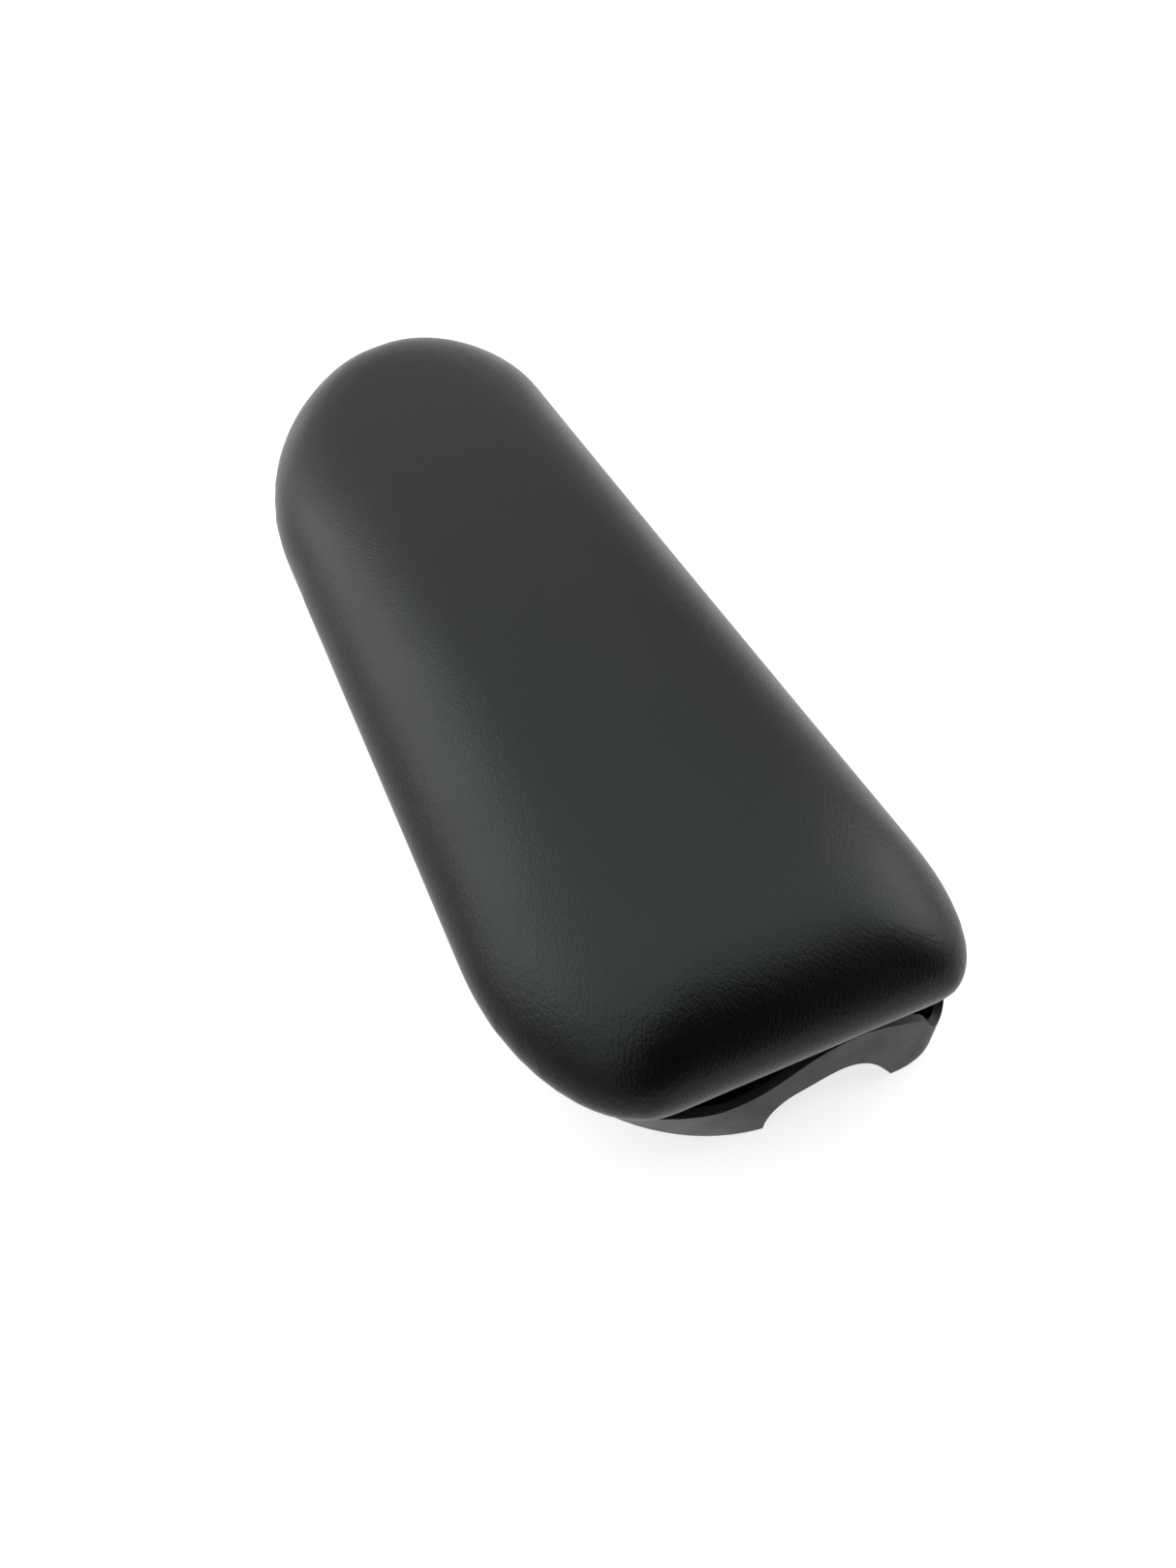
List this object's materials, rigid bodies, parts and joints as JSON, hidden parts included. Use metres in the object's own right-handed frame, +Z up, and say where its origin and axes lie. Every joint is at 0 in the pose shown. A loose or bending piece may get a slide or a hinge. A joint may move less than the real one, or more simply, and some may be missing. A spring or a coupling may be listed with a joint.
{
  "type": "chair armrest pad",
  "caption": "Padded office chair armrest with a crowned leatherette top and a moulded lower shell whose channel seats the chair's arm.",
  "frame": {"origin": "middle of the two arm bolts, level with the seats the chair's arm bears on", "axes": "+X along the pad towards the channel's open end, +Y across towards the pad's straighter side, +Z up"},
  "size_m": [0.2647, 0.0946, 0.0524],
  "materials": {
    "cover_vinyl": "black leatherette with a fine shallow grain, soft satin sheen",
    "foam": "open-cell polyurethane foam",
    "board": "plain plywood",
    "shell_plastic": "moulded nylon, satin warm grey-black with a fine spark texture",
    "plated_steel": "zinc-plated steel",
    "screw_steel": "black-oxide steel",
    "staple_wire": "galvanised wire"
  },
  "bodies": {
    "root": {"cover": "cover_vinyl", "foam_cushion": "foam", "insert_board": "board", "lower_shell": "shell_plastic", "shell_screw_1": "screw_steel", "shell_screw_2": "screw_steel", "shell_screw_3": "screw_steel", "shell_screw_4": "screw_steel", "staple_01": "staple_wire", "staple_02": "staple_wire", "staple_03": "staple_wire", "staple_04": "staple_wire", "staple_05": "staple_wire", "staple_06": "staple_wire", "staple_07": "staple_wire", "staple_08": "staple_wire", "staple_09": "staple_wire", "staple_10": "staple_wire", "staple_11": "staple_wire", "staple_12": "staple_wire", "staple_13": "staple_wire", "staple_14": "staple_wire", "staple_15": "staple_wire", "staple_16": "staple_wire", "staple_17": "staple_wire", "staple_18": "staple_wire", "staple_19": "staple_wire", "staple_20": "staple_wire", "staple_21": "staple_wire", "tee_nut_1": "plated_steel", "tee_nut_2": "plated_steel"}
  },
  "joints": []
}
